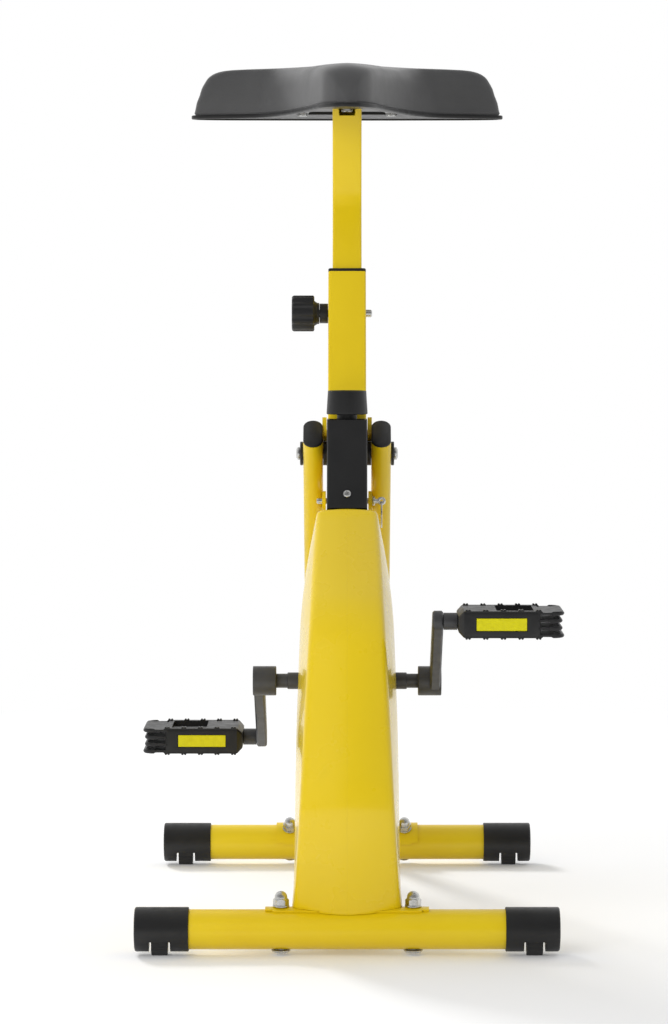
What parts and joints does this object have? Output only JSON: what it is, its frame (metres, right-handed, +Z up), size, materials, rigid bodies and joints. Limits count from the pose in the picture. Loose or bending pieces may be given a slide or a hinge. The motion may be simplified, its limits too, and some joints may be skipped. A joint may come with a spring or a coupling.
{
  "type": "desk exercise bike",
  "caption": "Folding desk exercise bike: leaning seat tube, wide split saddle, twin-tube folding rear leg, pedals, and a belt-driven magnetic flywheel in a slim housing.",
  "frame": {"origin": "on the floor, in the middle of the outline", "axes": "+Z up, -Y the way the rider faces, +X the side of the belt drive"},
  "size_m": [0.409, 0.6455, 0.8699],
  "materials": {
    "yellow_paint": "gloss",
    "yellow_shell": "gloss",
    "black_plastic": "satin",
    "dark_steel": "satin",
    "zinc": "plated",
    "cast_iron": "cast",
    "belt_rubber": "matte",
    "saddle_skin": "grained",
    "reflector_yellow": "gloss"
  },
  "bodies": {
    "frame": {"main_frame": "yellow_paint", "post_bushing": "black_plastic", "front_stabilizer": "yellow_paint", "front_cap_left": "black_plastic", "front_cap_right": "black_plastic", "front_bolt_left": "zinc", "front_bolt_right": "zinc", "housing_left": "yellow_shell", "housing_right": "yellow_shell", "tension_box": "black_plastic", "tension_box_screw": "zinc", "tension_cable": "belt_rubber", "bearing_cup_left": "dark_steel", "bearing_cup_right": "dark_steel", "pivot_bolt": "zinc", "pivot_spacer_left": "black_plastic", "pivot_spacer_right": "black_plastic", "pivot_washer_left": "black_plastic", "pivot_washer_right": "black_plastic", "drive_belt": "belt_rubber", "magnet_spring": "zinc", "height_collar": "black_plastic"},
    "rear_leg": {"rear_leg_frame": "yellow_paint", "leg_plug_left": "black_plastic", "leg_plug_right": "black_plastic", "rear_stabilizer": "yellow_paint", "rear_cap_left": "black_plastic", "rear_cap_right": "black_plastic", "rear_bolt_left": "zinc", "rear_bolt_right": "zinc"},
    "seat": {"seat_post": "yellow_paint", "saddle_pan": "black_plastic", "saddle_cushion": "saddle_skin", "saddle_bolt_front": "zinc", "saddle_bolt_left": "zinc", "saddle_bolt_right": "zinc"},
    "crank": {"crank_axle": "dark_steel", "crank_arm_left": "dark_steel", "crank_arm_right": "dark_steel", "drive_pulley": "black_plastic", "pedal_spindle_left": "dark_steel", "pedal_spindle_right": "dark_steel"},
    "flywheel": {"flywheel": "cast_iron"},
    "magnet_arm": {"magnet_arm": "zinc"},
    "tension_knob": {"tension_knob": "black_plastic"},
    "height_pin": {"height_pin": "zinc"},
    "height_knob": {"height_knob": "black_plastic"},
    "lock_pin": {"lock_pin": "zinc"},
    "lock_ring": {"lock_ring": "zinc"},
    "pedal_left": {"pedal_left": "black_plastic", "pedal_left_reflector_front": "reflector_yellow", "pedal_left_reflector_rear": "reflector_yellow"},
    "pedal_right": {"pedal_right": "black_plastic", "pedal_right_reflector_front": "reflector_yellow", "pedal_right_reflector_rear": "reflector_yellow"},
    "front_disc_left": {"front_disc_left": "black_plastic"},
    "front_disc_right": {"front_disc_right": "black_plastic"},
    "rear_disc_left": {"rear_disc_left": "black_plastic"},
    "rear_disc_right": {"rear_disc_right": "black_plastic"}
  },
  "joints": [
    {"name": "rear_leg_fold", "type": "hinge", "parent": "frame", "child": "rear_leg", "pos_m": [0, -0.0489, 0.46933], "axis": [-1, 0, 0], "range_deg": [0, 27]},
    {"name": "seat_height", "type": "slide", "parent": "frame", "child": "seat", "axis": [0, 0.4509, 0.8926], "range_m": [-0.04, 0.08]},
    {"name": "height_pin_pull", "type": "slide", "parent": "frame", "child": "height_pin", "axis": [-1, 0, 0], "range_m": [0, 0.042]},
    {"name": "height_knob_turn", "type": "hinge", "parent": "height_pin", "child": "height_knob", "pos_m": [0, 0.02216, 0.61001], "axis": [-1, 0, 0], "range_deg": [0, 720]},
    {"name": "tension_knob_turn", "type": "hinge", "parent": "frame", "child": "tension_knob", "pos_m": [0, -0.07379, 0.5096], "axis": [0, 0, 1], "range_deg": [0, 300]},
    {"name": "magnet_arm_swing", "type": "hinge", "parent": "frame", "child": "magnet_arm", "pos_m": [0, -0.12835, 0.10833], "axis": [1, 0, 0], "range_deg": [0, 1.7]},
    {"name": "crank_spin", "type": "hinge", "parent": "frame", "child": "crank", "pos_m": [0, -0.15937, 0.25065], "axis": [1, 0, 0], "continuous": true},
    {"name": "flywheel_spin", "type": "hinge", "parent": "frame", "child": "flywheel", "pos_m": [0, -0.21528, 0.13997], "axis": [1, 0, 0], "continuous": true},
    {"name": "lock_pin_pull", "type": "slide", "parent": "frame", "child": "lock_pin", "axis": [1, 0, 0], "range_m": [0, 0.058]},
    {"name": "lock_ring_swing", "type": "hinge", "parent": "lock_pin", "child": "lock_ring", "pos_m": [0.0345, -0.07248, 0.42265], "axis": [0, -1, 0], "range_deg": [0, 60]},
    {"name": "pedal_left_spin", "type": "hinge", "parent": "crank", "child": "pedal_left", "pos_m": [0, -0.04852, 0.18272], "axis": [1, 0, 0], "continuous": true},
    {"name": "pedal_right_spin", "type": "hinge", "parent": "crank", "child": "pedal_right", "pos_m": [0, -0.27021, 0.31857], "axis": [1, 0, 0], "continuous": true},
    {"name": "front_disc_left_turn", "type": "hinge", "parent": "frame", "child": "front_disc_left", "pos_m": [-0.1786, -0.27477, 0.0161], "axis": [1, 0, 0], "range_deg": [0, 180]},
    {"name": "front_disc_right_turn", "type": "hinge", "parent": "frame", "child": "front_disc_right", "pos_m": [0.1786, -0.27477, 0.0161], "axis": [1, 0, 0], "range_deg": [0, 180]},
    {"name": "rear_disc_left_turn", "type": "hinge", "parent": "rear_leg", "child": "rear_disc_left", "pos_m": [-0.1786, 0.30163, 0.0161], "axis": [1, 0, 0], "range_deg": [0, 180]},
    {"name": "rear_disc_right_turn", "type": "hinge", "parent": "rear_leg", "child": "rear_disc_right", "pos_m": [0.1786, 0.30163, 0.0161], "axis": [1, 0, 0], "range_deg": [0, 180]}
  ],
  "couplings": [
    {"joint": "flywheel_spin", "follows": "crank_spin", "ratio": 6.8571},
    {"joint": "magnet_arm_swing", "follows": "tension_knob_turn", "ratio": 0.00566}
  ]
}
